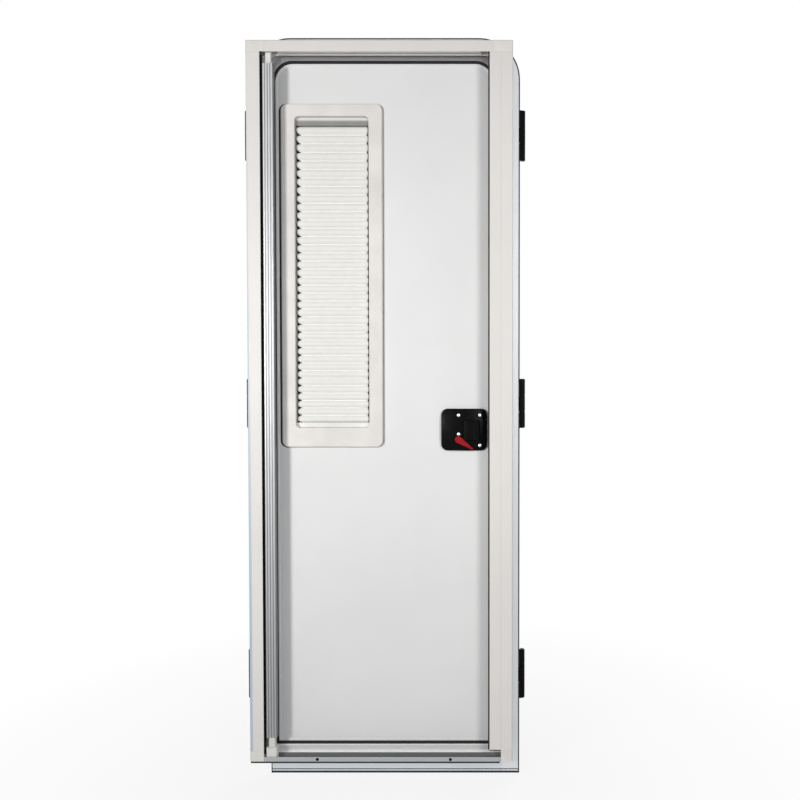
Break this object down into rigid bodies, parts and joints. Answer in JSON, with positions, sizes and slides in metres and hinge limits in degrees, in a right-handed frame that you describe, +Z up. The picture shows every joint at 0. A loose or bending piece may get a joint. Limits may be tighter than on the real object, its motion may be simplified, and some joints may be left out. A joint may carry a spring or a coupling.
{
  "type": "caravan entrance door with fly screen",
  "caption": "Hinged caravan entrance door in its frame, with a blind window, a push-paddle lock and a sliding pleated fly screen.",
  "frame": {"origin": "on the wall side of the sill flange, at the middle of its width and of its height", "axes": "+X to the right as seen from inside the vehicle, +Y outwards through the wall, +Z up"},
  "size_m": [0.692, 0.084, 1.82],
  "materials": {
    "frame_aluminium": "satin light grey coat on aluminium",
    "screen_frame": "satin cream coat on aluminium",
    "track_aluminium": "satin light coat on aluminium",
    "bar_aluminium": "satin anodised",
    "cream_plastic": "moulded, fine grain",
    "window_plastic": "moulded, fine grain",
    "grey_plastic": "moulded",
    "black_plastic": "moulded, fine grain",
    "red_plastic": "moulded, glossy",
    "leaf_skin": "satin white coat on sheet",
    "foam_core": "rigid foam with a plastic edge",
    "seal_rubber": "matt bulb seal",
    "screen_mesh": "pleated fly mesh",
    "blind_fabric": "pleated woven blind",
    "pane": "tinted acrylic",
    "steel": "brushed"
  },
  "bodies": {
    "frame": {"frame_head": "frame_aluminium", "frame_jamb_left": "frame_aluminium", "frame_jamb_right": "frame_aluminium", "frame_sill": "frame_aluminium", "hinge_base_top": "black_plastic", "hinge_base_middle": "black_plastic", "hinge_base_bottom": "black_plastic", "edge_block_top": "black_plastic", "edge_block_middle": "black_plastic", "edge_block_bottom": "black_plastic", "lock_keeper": "steel", "screen_jamb_left": "screen_frame", "screen_jamb_right": "screen_frame", "screen_catch": "screen_frame", "screen_head_rail": "screen_frame", "head_guide_strip": "cream_plastic", "screen_track": "track_aluminium", "corner_top_left": "cream_plastic", "corner_top_right": "cream_plastic", "corner_bottom_left": "cream_plastic", "corner_bottom_right": "cream_plastic", "pleated_screen": "screen_mesh"},
    "fly_screen": {"pull_bar": "bar_aluminium", "bar_shoe_top": "cream_plastic", "bar_shoe_bottom": "cream_plastic"},
    "leaf": {"leaf_core": "foam_core", "leaf_inner_skin": "leaf_skin", "leaf_outer_skin": "leaf_skin", "leaf_seal": "seal_rubber", "window_inner_frame": "window_plastic", "window_outer_frame": "black_plastic", "window_pane": "pane", "blind_head": "grey_plastic", "window_blind": "blind_fabric", "blind_rail": "window_plastic", "lock_inner_case": "black_plastic", "lock_outer_case": "black_plastic", "outer_handle": "black_plastic", "lock_cylinder": "steel", "hinge_strap_top": "black_plastic", "hinge_strap_middle": "black_plastic", "hinge_strap_bottom": "black_plastic"},
    "paddle": {"lock_paddle": "black_plastic"},
    "snib": {"lock_snib": "red_plastic"}
  },
  "joints": [
    {"name": "leaf_swing", "type": "hinge", "parent": "frame", "child": "leaf", "pos_m": [-0.339, 0.009, 0.9], "axis": [0, 0, 1], "range_deg": [0, 110]},
    {"name": "screen_slide", "type": "slide", "parent": "frame", "child": "fly_screen", "axis": [1, 0, 0], "range_m": [0, 0.513]},
    {"name": "paddle_push", "type": "hinge", "parent": "leaf", "child": "paddle", "pos_m": [0.2305, -0.019, 0.841], "axis": [0, 0, -1], "range_deg": [0, 12], "stiffness_Nm_per_rad": 0.5},
    {"name": "snib_turn", "type": "hinge", "parent": "leaf", "child": "snib", "pos_m": [0.181, -0.023, 0.819], "axis": [0, 1, 0], "range_deg": [0, 57]}
  ]
}
